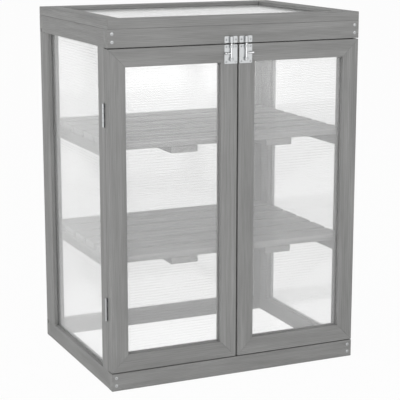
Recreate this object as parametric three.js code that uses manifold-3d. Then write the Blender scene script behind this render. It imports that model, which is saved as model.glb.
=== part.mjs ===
// A wooden mini greenhouse: a glazed cabinet with two doors, two barrel bolts and two slatted shelves.
// Millimetres, +Z up, the doors face -Y. Left and right are as seen from the front.
// The origin lies on the ground, in the middle of the space that the whole object takes up.

import * as THREE from "three";
import { mergeVertices } from "three/addons/utils/BufferGeometryUtils.js";
import Module from "manifold-3d";

const wasm = await Module();
wasm.setup();

// Driving dimensions of the cabinet
const width = 580;
const depth = 440;
const height = 780;

// Timber
const boardWidth = 38; // front boards, and the rails of the side and back frames
const stileWidth = 37; // stiles of the side and back frames
const frontBoardThickness = 22;
const frameThickness = 20;
const roofMemberWidth = 40;
const roofThickness = 19;
const arris = 1; // radius of the eased edges along every board
const mitreGap = 0.2; // that each mitred end is planed back, along the board

// Doors
const doorMemberWidth = 37.5;
const hingeGap = 1; // between the back of a closed door and the side frame
const doorEndGap = 2; // above and below a door
const doorCentreGap = 3.5;

// Twin-wall glazing sheets, which sit in grooves in the middle of the members
const sheetThickness = 4;
const sheetWall = 0.5; // each of the two skins
const webThickness = 0.5; // between two flutes
const webPitch = 12; // about twice that of the real sheet, so every second web is drawn
const sheetPlay = 0.3; // on each face and each edge of a sheet
const grooveDepth = 8;

// Shelves: slats nailed across two battens, resting on a cleat at each side
const lowerShelfHeight = 285; // from the ground to the top of the slats
const upperShelfHeight = 525;
const slatCount = 6;
const slatGap = 15;
const slatThickness = 15;
const battenWidth = 62.5;
const battenThickness = 15;
const battenOffset = 112; // from the middle of the shelf to the middle of a batten
const battenLap = 0.5; // that the slats are let down over the battens
const shelfSideGap = 1;
const shelfFrontGap = 3; // behind the front boards
const shelfBackGap = 3;
const cleatThickness = 15;
const cleatHeight = 24;
const cleatEndGap = 2;

// Butt hinges, with the knuckles outside the cabinet's side face
const hingeOffset = 205; // from the middle of the door's height to the middle of a hinge
const hingeStandOff = 3.5; // from the side face to the pin's axis
const leafHeight = 48;
const leafWidth = 17; // that lies on the timber
const leafThickness = 1.2;
const leafPlay = 0.3; // around a leaf in its mortise
const leafHoleRadius = 1.6;
const leafHoleSpacing = 16;
const knuckleCount = 5;
const knuckleRadius = 2.8;
const knuckleGap = 0.3;
const pinRadius = 1.25;
const pinPlay = 0.35;
const pinHeadRadius = 2.2;
const pinHeadHeight = 0.9;
const pinHeadGap = 0.3;

// Barrel bolts: a plate with two straps on each door, and a keeper on the top board above it
const plateWidth = 30;
const plateHeight = 40;
const plateThickness = 1.2;
const plateCornerRadius = 2;
const plateInset = 0.5; // from the door's top and free edge
const plateHoleRadius = 1.6;
const plateHoleInset = 4.2;
const strapWidth = 5;
const strapThickness = 1.2;
const upperStrapInset = 4; // from the plate's top edge to the middle of the strap
const lowerStrapRise = 10; // from the plate's bottom edge to the middle of the strap
const keeperHeight = 14;
const keeperRise = 1; // from the lower edge of the top board
const rodRadius = 2.5;
const rodLength = 37.5;
const rodPlay = 0.3;
const rodChamfer = 0.8;
const rodTipGap = 0.4; // below the keeper, with the bolt drawn
const handleDrop = 17.7; // from the plate's top edge
const handleLength = 17; // from the rod's axis to the end of the knob
const handleRadius = 1.6;
const knobRadius = 2.7;
const handleTilt = THREE.MathUtils.degToRad(12); // away from the door

// Values shared by the shapes
const cutOverrun = 2; // that a cutting tool runs past the face that it cuts
const arrisSegments = 2; // per eased edge
const holeSegments = 6; // per full turn, like the next one
const roundSegments = 12;
const rightAngle = Math.PI / 2;

// Places that follow from the sizes above
const wallHeight = height - roofThickness;
const sideFrameWidth = depth - frontBoardThickness - frameThickness;
const doorThickness = frontBoardThickness - hingeGap;
const doorWidth = (width - doorCentreGap) / 2;
const doorHeight = wallHeight - 2 * boardWidth - 2 * doorEndGap;
const doorBottom = boardWidth + doorEndGap;
const rodAxisHeight = plateThickness + rodPlay + rodRadius; // above the timber
const frontReach = rodAxisHeight + (handleLength - knobRadius) * Math.sin(handleTilt) + knobRadius;

// Finishes

function stainedWood() {
  return new THREE.MeshStandardMaterial({ color: 0x8c8c8c, roughness: 0.75, metalness: 0 });
}

function polycarbonate() {
  return new THREE.MeshStandardMaterial({
    color: 0xf2f4f4,
    roughness: 0.35,
    metalness: 0,
    transparent: true,
    opacity: 0.35,
  });
}

function zincPlatedSteel() {
  return new THREE.MeshStandardMaterial({ color: 0xc9c9c7, roughness: 0.35, metalness: 1 });
}

// Joining and cutting solids

function solidOf(geometry) {
  const bare = geometry.clone();
  bare.deleteAttribute("normal");
  bare.deleteAttribute("uv");
  const merged = mergeVertices(bare);
  const corners = merged.index.array;
  const triangles = [];
  for (let i = 0; i < corners.length; i += 3) {
    const [a, b, c] = [corners[i], corners[i + 1], corners[i + 2]];
    if (a !== b && b !== c && c !== a) triangles.push(a, b, c);
  }
  return new wasm.Manifold(
    new wasm.Mesh({
      numProp: 3,
      vertProperties: merged.attributes.position.array,
      triVerts: Uint32Array.from(triangles),
    }),
  );
}

function geometryOf(solid) {
  const mesh = solid.getMesh();
  const geometry = new THREE.BufferGeometry();
  geometry.setAttribute("position", new THREE.BufferAttribute(mesh.vertProperties, mesh.numProp));
  geometry.setIndex(new THREE.BufferAttribute(mesh.triVerts, 1));
  geometry.computeVertexNormals();
  return geometry;
}

function joined(...geometries) {
  return geometryOf(geometries.map(solidOf).reduce((whole, next) => whole.add(next)));
}

function cut(geometry, ...tools) {
  return geometryOf(tools.map(solidOf).reduce((whole, tool) => whole.subtract(tool), solidOf(geometry)));
}

// A copy of a geometry, mirrored left to right, with its faces turned to point out again
function mirrored(geometry) {
  const copy = mergeVertices(geometry.clone().scale(-1, 1, 1));
  const corners = copy.index.array;
  for (let i = 0; i < corners.length; i += 3) {
    [corners[i], corners[i + 1]] = [corners[i + 1], corners[i]];
  }
  return copy;
}

// A box between two corners
function boxBetween(low, high) {
  const size = high.map((value, i) => value - low[i]);
  const middle = high.map((value, i) => (value + low[i]) / 2);
  return new THREE.BoxGeometry(...size).translate(...middle);
}

function addMesh(parent, name, geometry, material) {
  const mesh = new THREE.Mesh(geometry, material);
  mesh.name = name;
  parent.add(mesh);
  return mesh;
}

// Timber members. Every board is drawn with its width along x, its thickness along y and its length
// along z. x = 0 is the outer edge of a frame, and y = 0 is the frame's outer face.

function boardOutline(memberWidth, thickness, grooveWidth) {
  const shape = new THREE.Shape();
  shape.moveTo(arris, 0);
  shape.lineTo(memberWidth - arris, 0);
  shape.absarc(memberWidth - arris, arris, arris, -rightAngle, 0, false);
  if (grooveWidth > 0) {
    shape.lineTo(memberWidth, (thickness - grooveWidth) / 2);
    shape.lineTo(memberWidth - grooveDepth, (thickness - grooveWidth) / 2);
    shape.lineTo(memberWidth - grooveDepth, (thickness + grooveWidth) / 2);
    shape.lineTo(memberWidth, (thickness + grooveWidth) / 2);
  }
  shape.lineTo(memberWidth, thickness - arris);
  shape.absarc(memberWidth - arris, thickness - arris, arris, 0, rightAngle, false);
  shape.lineTo(arris, thickness);
  shape.absarc(arris, thickness - arris, arris, rightAngle, 2 * rightAngle, false);
  shape.lineTo(0, arris);
  shape.absarc(arris, arris, arris, 2 * rightAngle, 3 * rightAngle, false);
  return shape;
}

function board(memberWidth, thickness, length, grooveWidth = 0) {
  return new THREE.ExtrudeGeometry(boardOutline(memberWidth, thickness, grooveWidth), {
    depth: length,
    bevelEnabled: false,
    curveSegments: arrisSegments / 2,
  });
}

function groovedBoard(memberWidth, thickness, length) {
  return board(memberWidth, thickness, length, sheetThickness + 2 * sheetPlay);
}

// Slants both ends of a member by 45 degrees, so that its outer edge is the long one
function mitreEnds(geometry, length) {
  const position = geometry.attributes.position;
  for (let i = 0; i < position.count; i += 1) {
    const slant = position.getX(i) + mitreGap;
    position.setZ(i, position.getZ(i) < length / 2 ? slant : length - slant);
  }
  return geometry;
}

// The four members of an upright frame in the XZ plane, from its lower left outer corner. Each is the
// same board turned by quarter turns. Its stiles stand between the rails, or all four are mitred.
function frameMembers(frame) {
  const { outerWidth, outerHeight, thickness, mitred } = frame;
  const stileStart = mitred ? 0 : frame.railWidth;
  const stileLength = outerHeight - 2 * stileStart;
  const places = {
    left: { turn: 0, x: 0, z: stileStart, length: stileLength, memberWidth: frame.stileWidth },
    right: {
      turn: 2 * rightAngle,
      x: outerWidth,
      z: outerHeight - stileStart,
      length: stileLength,
      memberWidth: frame.stileWidth,
    },
    top: { turn: rightAngle, x: 0, z: outerHeight, length: outerWidth, memberWidth: frame.railWidth },
    bottom: { turn: -rightAngle, x: outerWidth, z: 0, length: outerWidth, memberWidth: frame.railWidth },
  };
  const members = {};
  for (const [side, place] of Object.entries(places)) {
    let geometry = groovedBoard(place.memberWidth, thickness, place.length);
    if (mitred) geometry = mitreEnds(geometry, place.length);
    const member = new THREE.Mesh(geometry, stainedWood());
    member.name = frame.names[side];
    member.position.set(place.x, 0, place.z);
    member.rotation.y = place.turn;
    members[side] = member;
  }
  return members;
}

// A twin-wall glazing sheet, drawn in the XZ plane with its thickness along y. Its flutes run along x
// and are open at both ends. Their pitch is evened out, so that a web closes each long edge.
function glazingSheet(sheetWidth, sheetHeight) {
  const fluteCount = Math.round((sheetHeight - webThickness) / webPitch);
  const pitch = (sheetHeight - webThickness) / fluteCount;
  const section = [sheetThickness - 2 * sheetWall, pitch - webThickness];
  const flutes = [];
  for (let i = 0; i < fluteCount; i += 1) {
    const flute = new THREE.BoxGeometry(sheetWidth + 2 * cutOverrun, ...section);
    flutes.push(flute.translate(0, 0, (i - (fluteCount - 1) / 2) * pitch));
  }
  return cut(new THREE.BoxGeometry(sheetWidth, sheetThickness, sheetHeight), ...flutes);
}

// A frame with its sheet, which reaches into the grooves on all four sides
function glazedFrame(frame) {
  const group = new THREE.Group();
  group.add(...Object.values(frameMembers(frame)));
  const reach = grooveDepth - sheetPlay;
  const sheetWidth = frame.outerWidth - 2 * frame.stileWidth + 2 * reach;
  const sheetHeight = frame.outerHeight - 2 * frame.railWidth + 2 * reach;
  const sheet = addMesh(group, frame.names.sheet, glazingSheet(sheetWidth, sheetHeight), polycarbonate());
  sheet.position.set(frame.outerWidth / 2, frame.thickness / 2, frame.outerHeight / 2);
  return group;
}

// Mortises for the hinge leaves in a stile, at equal distances from the middle of its length
function withMortises(stile, length, low, high) {
  const tools = [-hingeOffset, hingeOffset].map((offset) => {
    const middle = length / 2 + offset;
    const reach = leafHeight / 2 + leafPlay;
    return boxBetween([...low, middle - reach], [...high, middle + reach]);
  });
  stile.geometry = cut(stile.geometry, ...tools);
}

// The front boards, which run the full width above and below the doors

function frontBoards() {
  const group = new THREE.Group();
  const boards = { front_bottom_board: 0, front_top_board: wallHeight - boardWidth };
  for (const [name, bottom] of Object.entries(boards)) {
    const mesh = addMesh(group, name, board(boardWidth, frontBoardThickness, width), stainedWood());
    mesh.rotation.y = -rightAngle;
    mesh.position.set(width / 2, 0, bottom);
  }
  return group;
}

// The side frames stand between the front boards and the back frame. Each front stile is let in for
// the hinge leaves, on its edge behind the door.

function sideFrame(side) {
  const isLeft = side === "left";
  const ends = isLeft ? { left: "back", right: "front" } : { left: "front", right: "back" };
  const group = glazedFrame({
    outerWidth: sideFrameWidth,
    outerHeight: wallHeight,
    thickness: frameThickness,
    stileWidth,
    railWidth: boardWidth,
    mitred: false,
    names: {
      left: `${side}_side_${ends.left}_stile`,
      right: `${side}_side_${ends.right}_stile`,
      top: `${side}_side_top_rail`,
      bottom: `${side}_side_bottom_rail`,
      sheet: `${side}_side_sheet`,
    },
  });
  const frontStile = group.children.find((mesh) => mesh.name === `${side}_side_front_stile`);
  const low = [-cutOverrun, -cutOverrun];
  const high = [leafThickness + leafPlay, leafWidth + leafPlay];
  withMortises(frontStile, wallHeight - 2 * boardWidth, low, high);
  group.rotation.z = isLeft ? -rightAngle : rightAngle;
  const front = frontBoardThickness;
  group.position.set(isLeft ? -width / 2 : width / 2, isLeft ? front + sideFrameWidth : front, 0);
  return group;
}

// The back frame runs the full width behind the side frames

function backFrame() {
  const group = glazedFrame({
    outerWidth: width,
    outerHeight: wallHeight,
    thickness: frameThickness,
    stileWidth,
    railWidth: boardWidth,
    mitred: false,
    names: {
      left: "back_right_stile",
      right: "back_left_stile",
      top: "back_top_rail",
      bottom: "back_bottom_rail",
      sheet: "back_sheet",
    },
  });
  group.rotation.z = 2 * rightAngle;
  group.position.set(width / 2, depth, 0);
  return group;
}

// The roof is a mitred frame that lies on top of the walls

function roofFrame() {
  const group = glazedFrame({
    outerWidth: width,
    outerHeight: depth,
    thickness: roofThickness,
    stileWidth: roofMemberWidth,
    railWidth: roofMemberWidth,
    mitred: true,
    names: {
      left: "roof_left_member",
      right: "roof_right_member",
      top: "roof_back_member",
      bottom: "roof_front_member",
      sheet: "roof_sheet",
    },
  });
  group.rotation.x = -rightAngle;
  group.position.set(-width / 2, 0, height);
  return group;
}

// A door is a mitred frame. Its hinge stile is let in for the leaves, on the back face.

function door(side) {
  const isLeft = side === "left";
  const group = glazedFrame({
    outerWidth: doorWidth,
    outerHeight: doorHeight,
    thickness: doorThickness,
    stileWidth: doorMemberWidth,
    railWidth: doorMemberWidth,
    mitred: true,
    names: {
      left: `${side}_door_${isLeft ? "hinge" : "bolt"}_stile`,
      right: `${side}_door_${isLeft ? "bolt" : "hinge"}_stile`,
      top: `${side}_door_top_rail`,
      bottom: `${side}_door_bottom_rail`,
      sheet: `${side}_door_sheet`,
    },
  });
  const hingeStile = group.children.find((mesh) => mesh.name === `${side}_door_hinge_stile`);
  const low = [-cutOverrun, doorThickness - leafThickness - leafPlay];
  const high = [leafWidth + leafPlay, doorThickness + cutOverrun];
  withMortises(hingeStile, doorHeight, low, high);
  group.position.set(isLeft ? -width / 2 : doorCentreGap / 2, 0, doorBottom);
  return group;
}

// Hinges, drawn for the left side around the pin's axis, which is the local z axis. Each leaf lies
// against the timber from x = hingeStandOff on, with its inner face half of the hinge gap from y = 0.

function leafPlate() {
  const shape = new THREE.Shape();
  shape.moveTo(hingeStandOff, -leafHeight / 2);
  shape.lineTo(hingeStandOff + leafWidth, -leafHeight / 2);
  shape.lineTo(hingeStandOff + leafWidth, leafHeight / 2);
  shape.lineTo(hingeStandOff, leafHeight / 2);
  for (const z of [-leafHoleSpacing, 0, leafHoleSpacing]) {
    const hole = new THREE.Path();
    hole.absarc(hingeStandOff + leafWidth / 2, z, leafHoleRadius, 0, 2 * Math.PI, true);
    shape.holes.push(hole);
  }
  const geometry = new THREE.ExtrudeGeometry(shape, {
    depth: leafThickness,
    bevelEnabled: false,
    curveSegments: holeSegments / 2,
  });
  return geometry.rotateX(rightAngle).translate(0, leafThickness, 0);
}

function uprightCylinder(radius, low, high, segments) {
  const cylinder = new THREE.CylinderGeometry(radius, radius, high - low, segments);
  return cylinder.rotateX(rightAngle).translate(0, 0, (low + high) / 2);
}

// A leaf with every second knuckle, from the given one on. facing is 1 for the leaf on the side frame
// and -1 for the leaf on the door.
function hingeLeaf(firstKnuckle, facing) {
  const faceNear = hingeGap / 2;
  const plateY = facing > 0 ? faceNear : -faceNear - leafThickness;
  const knuckleLength = (leafHeight - (knuckleCount - 1) * knuckleGap) / knuckleCount;
  const pieces = [leafPlate().translate(0, plateY, 0)];
  for (let k = firstKnuckle; k < knuckleCount; k += 2) {
    const low = -leafHeight / 2 + k * (knuckleLength + knuckleGap);
    const high = low + knuckleLength;
    pieces.push(boxBetween([0, plateY, low], [hingeStandOff + cutOverrun, plateY + leafThickness, high]));
    pieces.push(uprightCylinder(knuckleRadius, low, high, roundSegments));
  }
  const bore = uprightCylinder(
    pinRadius + pinPlay,
    -leafHeight / 2 - cutOverrun,
    leafHeight / 2 + cutOverrun,
    roundSegments,
  );
  return cut(joined(...pieces), bore);
}

function hingePin() {
  const shaftEnd = leafHeight / 2 + pinHeadGap;
  const domeRadius = pinHeadRadius * Math.SQRT1_2;
  const profile = [
    [0, -shaftEnd - pinHeadHeight],
    [domeRadius, -shaftEnd - pinHeadHeight],
    [pinHeadRadius, -shaftEnd - pinHeadHeight / 2],
    [pinHeadRadius, -shaftEnd],
    [pinRadius, -shaftEnd],
    [pinRadius, shaftEnd],
    [pinHeadRadius, shaftEnd],
    [pinHeadRadius, shaftEnd + pinHeadHeight / 2],
    [domeRadius, shaftEnd + pinHeadHeight],
    [0, shaftEnd + pinHeadHeight],
  ].map(([radius, z]) => new THREE.Vector2(radius, z));
  return new THREE.LatheGeometry(profile, roundSegments).rotateX(rightAngle);
}

function hinges(side) {
  const group = new THREE.Group();
  const isLeft = side === "left";
  const drawn = {
    frame_leaf: hingeLeaf(0, 1),
    door_leaf: hingeLeaf(1, -1),
    pin: hingePin(),
  };
  const doorMiddle = doorBottom + doorHeight / 2;
  const heights = { lower: doorMiddle - hingeOffset, upper: doorMiddle + hingeOffset };
  const axisX = width / 2 + hingeStandOff;
  for (const [level, z] of Object.entries(heights)) {
    for (const [piece, shape] of Object.entries(drawn)) {
      const geometry = isLeft ? shape : mirrored(shape);
      const mesh = addMesh(group, `${side}_${level}_hinge_${piece}`, geometry, zincPlatedSteel());
      mesh.position.set(isLeft ? -axisX : axisX, frontBoardThickness - hingeGap / 2, z);
    }
  }
  return group;
}

// Barrel bolts, drawn for the left door as seen from the front: x to the right, y up, and z out of the
// timber. The rod's axis is at x = 0, and the plate's top edge is at y = 0.

function plate(plateTall, holes) {
  const half = plateWidth / 2;
  const r = plateCornerRadius;
  const shape = new THREE.Shape();
  shape.moveTo(-half + r, -plateTall);
  shape.lineTo(half - r, -plateTall);
  shape.absarc(half - r, -plateTall + r, r, -rightAngle, 0, false);
  shape.lineTo(half, -r);
  shape.absarc(half - r, -r, r, 0, rightAngle, false);
  shape.lineTo(-half + r, 0);
  shape.absarc(-half + r, -r, r, rightAngle, 2 * rightAngle, false);
  shape.lineTo(-half, -plateTall + r);
  shape.absarc(-half + r, -plateTall + r, r, 2 * rightAngle, 3 * rightAngle, false);
  for (const [x, y] of holes) {
    const hole = new THREE.Path();
    hole.absarc(x, y, plateHoleRadius, 0, 2 * Math.PI, true);
    shape.holes.push(hole);
  }
  return new THREE.ExtrudeGeometry(shape, {
    depth: plateThickness,
    bevelEnabled: false,
    curveSegments: holeSegments / 2,
  });
}

// A strap bent over the rod, from the timber up, centred on y = 0 and strapTall wide along y
function strap(strapTall) {
  const inner = rodRadius + rodPlay;
  const outer = inner + strapThickness;
  const shape = new THREE.Shape();
  shape.moveTo(outer, 0);
  shape.absarc(0, rodAxisHeight, outer, 0, 2 * rightAngle, false);
  shape.lineTo(-outer, 0);
  shape.lineTo(-inner, 0);
  shape.absarc(0, rodAxisHeight, inner, 2 * rightAngle, 0, true);
  shape.lineTo(inner, 0);
  const geometry = new THREE.ExtrudeGeometry(shape, {
    depth: strapTall,
    bevelEnabled: false,
    curveSegments: roundSegments / 4,
  });
  return geometry.rotateX(rightAngle).translate(0, strapTall / 2, 0);
}

function boltPlate() {
  const x = plateWidth / 2 - plateHoleInset;
  const high = -plateHoleInset;
  const low = -plateHeight + plateHoleInset;
  const holes = [
    [-x, high],
    [x, high],
    [-x, low],
    [x, low],
  ];
  return joined(
    plate(plateHeight, holes),
    strap(strapWidth).translate(0, -upperStrapInset, 0),
    strap(strapWidth).translate(0, -plateHeight + lowerStrapRise, 0),
  );
}

function boltKeeper() {
  const x = plateWidth / 2 - plateHoleInset;
  const holes = [
    [-x, -keeperHeight / 2],
    [x, -keeperHeight / 2],
  ];
  return joined(plate(keeperHeight, holes), strap(keeperHeight).translate(0, -keeperHeight / 2, 0));
}

function roundBar(profile) {
  const points = profile.map(([radius, y]) => new THREE.Vector2(radius, y));
  return new THREE.LatheGeometry(points, roundSegments);
}

// The rod with its side handle, which points left and slightly away from the door
function boltRod() {
  const tip = plateInset + doorEndGap + keeperRise - rodTipGap;
  const rod = roundBar([
    [0, tip - rodLength],
    [rodRadius - rodChamfer, tip - rodLength],
    [rodRadius, tip - rodLength + rodChamfer],
    [rodRadius, tip - rodChamfer],
    [rodRadius - rodChamfer, tip],
    [0, tip],
  ]);
  const neck = handleLength - knobRadius;
  const knobArc = [-2, -1, 0, 1].map((step) => (step * rightAngle) / 3);
  const knob = knobArc.map((angle) => [knobRadius * Math.cos(angle), neck + knobRadius * Math.sin(angle)]);
  const handle = roundBar([[0, 0], [handleRadius, 0], ...knob, [0, handleLength]]);
  handle.rotateZ(rightAngle).rotateY(handleTilt);
  return joined(rod, handle.translate(0, -handleDrop, 0)).translate(0, 0, rodAxisHeight);
}

function barrelBolt(side) {
  const group = new THREE.Group();
  const isLeft = side === "left";
  const rodX = doorCentreGap / 2 + plateInset + plateWidth / 2;
  const plateTop = doorBottom + doorHeight - plateInset;
  const keeperTop = wallHeight - boardWidth + keeperRise + keeperHeight;
  const pieces = [
    ["plate", boltPlate(), plateTop],
    ["rod", boltRod(), plateTop],
    ["keeper", boltKeeper(), keeperTop],
  ];
  for (const [piece, shape, z] of pieces) {
    const geometry = isLeft ? shape : mirrored(shape);
    const mesh = addMesh(group, `${side}_bolt_${piece}`, geometry, zincPlatedSteel());
    mesh.rotation.x = rightAngle;
    mesh.position.set(isLeft ? -rodX : rodX, 0, z);
  }
  return group;
}

// A shelf, drawn with the underside of its slats at z = 0 and its front edge at y = 0

function shelfDeck() {
  const shelfWidth = width - 2 * frameThickness - 2 * shelfSideGap;
  const shelfDepth = sideFrameWidth - shelfFrontGap - shelfBackGap;
  const slatWidth = (shelfDepth - (slatCount - 1) * slatGap) / slatCount;
  const pitch = slatWidth + slatGap;
  const pieces = [];
  for (let i = 0; i < slatCount; i += 1) {
    const slat = board(slatThickness, slatWidth, shelfWidth).rotateY(-rightAngle);
    pieces.push(slat.translate(shelfWidth / 2, i * pitch, 0));
  }
  for (const x of [-battenOffset, battenOffset]) {
    const batten = board(battenWidth, battenThickness, shelfDepth).rotateX(-rightAngle);
    pieces.push(batten.translate(x - battenWidth / 2, 0, battenLap));
  }
  return joined(...pieces);
}

function shelf(level, top) {
  const group = new THREE.Group();
  const deck = addMesh(group, `${level}_shelf`, shelfDeck(), stainedWood());
  const underside = top - slatThickness;
  deck.position.set(0, frontBoardThickness + shelfFrontGap, underside);
  const cleatLength = sideFrameWidth - 2 * cleatEndGap;
  const cleatEdge = width / 2 - frameThickness - cleatThickness / 2;
  for (const [side, x] of [["left", -cleatEdge], ["right", cleatEdge]]) {
    const geometry = board(cleatThickness, cleatHeight, cleatLength).rotateX(-rightAngle);
    const cleat = addMesh(group, `${side}_${level}_cleat`, geometry, stainedWood());
    cleat.position.set(x - cleatThickness / 2, frontBoardThickness + cleatEndGap, underside);
  }
  return group;
}

const greenhouse = new THREE.Group();
greenhouse.add(frontBoards(), backFrame(), roofFrame());
for (const side of ["left", "right"]) {
  greenhouse.add(sideFrame(side), door(side), hinges(side), barrelBolt(side));
}
greenhouse.add(shelf("lower", lowerShelfHeight), shelf("upper", upperShelfHeight));
greenhouse.position.y = (frontReach - depth) / 2;

export default greenhouse;
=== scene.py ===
# %% [markdown]
# # A wooden mini greenhouse
# The object is a small glazed cabinet for raising plants: grey-stained softwood frames, twin-wall
# polycarbonate sheets, two doors on butt hinges, two barrel bolts and two slatted shelves. Its boards,
# hinges and bolts arrive as a fixed frame at their real size. This lesson dresses that frame: it gives
# each board its own timber, makes the fluted sheets, the slats, the ironmongery and the screws, and sets
# up a plain studio round it. All lengths are in metres.

# %% Load the frame
import math

import bpy
from mathutils import Matrix, Vector


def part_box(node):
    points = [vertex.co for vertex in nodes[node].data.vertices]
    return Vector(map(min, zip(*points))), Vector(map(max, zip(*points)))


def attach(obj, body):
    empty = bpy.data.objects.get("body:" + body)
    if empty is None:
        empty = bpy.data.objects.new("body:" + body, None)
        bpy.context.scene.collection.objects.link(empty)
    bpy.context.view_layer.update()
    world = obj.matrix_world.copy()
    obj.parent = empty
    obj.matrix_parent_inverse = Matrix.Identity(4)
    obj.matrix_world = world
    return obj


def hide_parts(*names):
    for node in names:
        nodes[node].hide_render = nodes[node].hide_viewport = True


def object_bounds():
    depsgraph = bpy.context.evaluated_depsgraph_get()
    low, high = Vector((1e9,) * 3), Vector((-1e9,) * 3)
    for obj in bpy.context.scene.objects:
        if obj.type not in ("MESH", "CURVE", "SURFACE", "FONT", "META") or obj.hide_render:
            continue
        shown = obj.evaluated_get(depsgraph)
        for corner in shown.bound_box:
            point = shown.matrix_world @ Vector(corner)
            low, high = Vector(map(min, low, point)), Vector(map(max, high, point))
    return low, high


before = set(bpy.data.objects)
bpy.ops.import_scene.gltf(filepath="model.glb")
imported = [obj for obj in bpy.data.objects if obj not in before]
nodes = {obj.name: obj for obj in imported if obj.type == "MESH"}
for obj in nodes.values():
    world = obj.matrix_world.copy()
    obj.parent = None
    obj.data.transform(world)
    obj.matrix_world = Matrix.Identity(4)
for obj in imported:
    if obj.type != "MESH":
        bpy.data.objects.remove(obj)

scene = bpy.context.scene
frame_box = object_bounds()
bpy.ops.object.select_all(action="DESELECT")
print("frame box", [round(v, 4) for v in (*frame_box[0], *frame_box[1])], "nodes", len(nodes))

# %% [markdown]
# The camera stands a little to the left of the cabinet and above it, and looks slightly down. Its place
# is measured from the cabinet's front lower left corner, and its long lens keeps the upright edges
# nearly parallel. It comes first, because everything else is judged through it.

# %% Camera
MM = 0.001
front_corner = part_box("front_bottom_board")[0]
CAMERA_LEFT = 935 * MM  # of the corner
CAMERA_BEFORE = 2510 * MM
CAMERA_UP = 984 * MM
CAMERA_YAW = math.radians(24.38)  # from straight ahead towards the right
CAMERA_PITCH = math.radians(12.04)  # below the horizon
CAMERA_LENS = 120.3  # millimetres on a sensor 36 mm wide

bpy.ops.object.camera_add(
    location=front_corner + Vector((-CAMERA_LEFT, -CAMERA_BEFORE, CAMERA_UP)),
    rotation=(math.pi / 2 - CAMERA_PITCH, 0, -CAMERA_YAW),
)
camera = bpy.context.object
camera.data.lens = CAMERA_LENS
camera.data.sensor_width = 36
scene.camera = camera
print("camera at", [round(v, 3) for v in camera.location])

# %% [markdown]
# Colours are written as the hex values that a paint program shows. Blender's shaders add and mix light,
# so each value is first turned from the screen's curve to linear light. One helper then adds any shader
# node: a name that the node itself has is a setting, any other key is an input, and a socket given for
# an input is linked to it.


# %% Colour and node helpers
def colour(hex_value):
    channels = [(hex_value >> shift & 255) / 255 for shift in (16, 8, 0)]
    linear = [c / 12.92 if c <= 0.04045 else ((c + 0.055) / 1.055) ** 2.4 for c in channels]
    return (*linear, 1)


def add_node(tree, kind, settings):
    node = tree.nodes.new(kind)
    for key, value in settings.items():
        if isinstance(value, bpy.types.NodeSocket):
            tree.links.new(value, node.inputs[key])
        elif isinstance(key, str) and hasattr(node, key):
            setattr(node, key, value)
        else:
            node.inputs[key].default_value = value
    return node


def new_material(name):
    material = bpy.data.materials.new(name)
    material.use_nodes = True
    return material, material.node_tree, material.node_tree.nodes["Principled BSDF"]


def set_ramp(node, stops):
    ramp = node.color_ramp
    while len(ramp.elements) < len(stops):
        ramp.elements.new(0.5)
    for element, (position, value) in zip(ramp.elements, stops):
        element.position = position
        element.color = value


print("middle grey in linear light", round(colour(0x808080)[0], 3))

# %% [markdown]
# The timber is planed softwood, such as fir. A tree grows in rings round its heart, so a board is a cut
# through a stack of nearly flat layers, about 3 mm apart, and the late wood of each ring is harder and
# darker. A flat pattern of grain could be laid on every face, but it would not meet at the edges. So the
# stack is a solid pattern, with the board's length along the trunk. It gives straight grain on the faces
# and arcs of rings on the ends. Noise that is drawn out along the trunk lets the rings wander a little.

# %% Growth rings
RING_WIDTH = 3.4 * MM
WAVE_WIDTH = 55 * MM  # of the slow wander of the grain
WAVE_WIDTH_SHARE = 0.14  # of the wander's length
WAVE_LENGTH = WAVE_WIDTH / WAVE_WIDTH_SHARE
WAVE_REACH = 5 * MM
TRUNK_TURN = {"x": (0, -math.pi / 2, 0), "y": (math.pi / 2, 0, 0), "z": (0, 0, 0)}
HEARTS = ((0.52, 0.31), (-0.44, 0.47), (0.37, -0.58), (-0.61, -0.29))  # a trunk's heart for each plank
PLANK_STEP = 0.37  # along the trunk from one plank to the next
LATE_WOOD_STOPS = ((0, 0), (0.45, 0.1), (0.86, 1), (1, 0))  # place in a ring, and how late its wood is


def trunk_place(tree, along, plank):
    """Where each point of a board lay in its trunk, which stands along z."""
    place = add_node(tree, "ShaderNodeTexCoord", {}).outputs["Object"]
    heart = (*HEARTS[plank], PLANK_STEP * plank)
    return add_node(
        tree, "ShaderNodeMapping", {"Vector": place, "Rotation": TRUNK_TURN[along], "Location": heart}
    ).outputs["Vector"]


def streaks(tree, place, width, length, detail):
    """Noise that is drawn out along z."""
    stretched = add_node(
        tree,
        "ShaderNodeVectorMath",
        {"operation": "MULTIPLY", 0: place, 1: (1 / width, 1 / width, 1 / length)},
    ).outputs[0]
    return add_node(tree, "ShaderNodeTexNoise", {"Vector": stretched, "Scale": 1, "Detail": detail}).outputs


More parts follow.
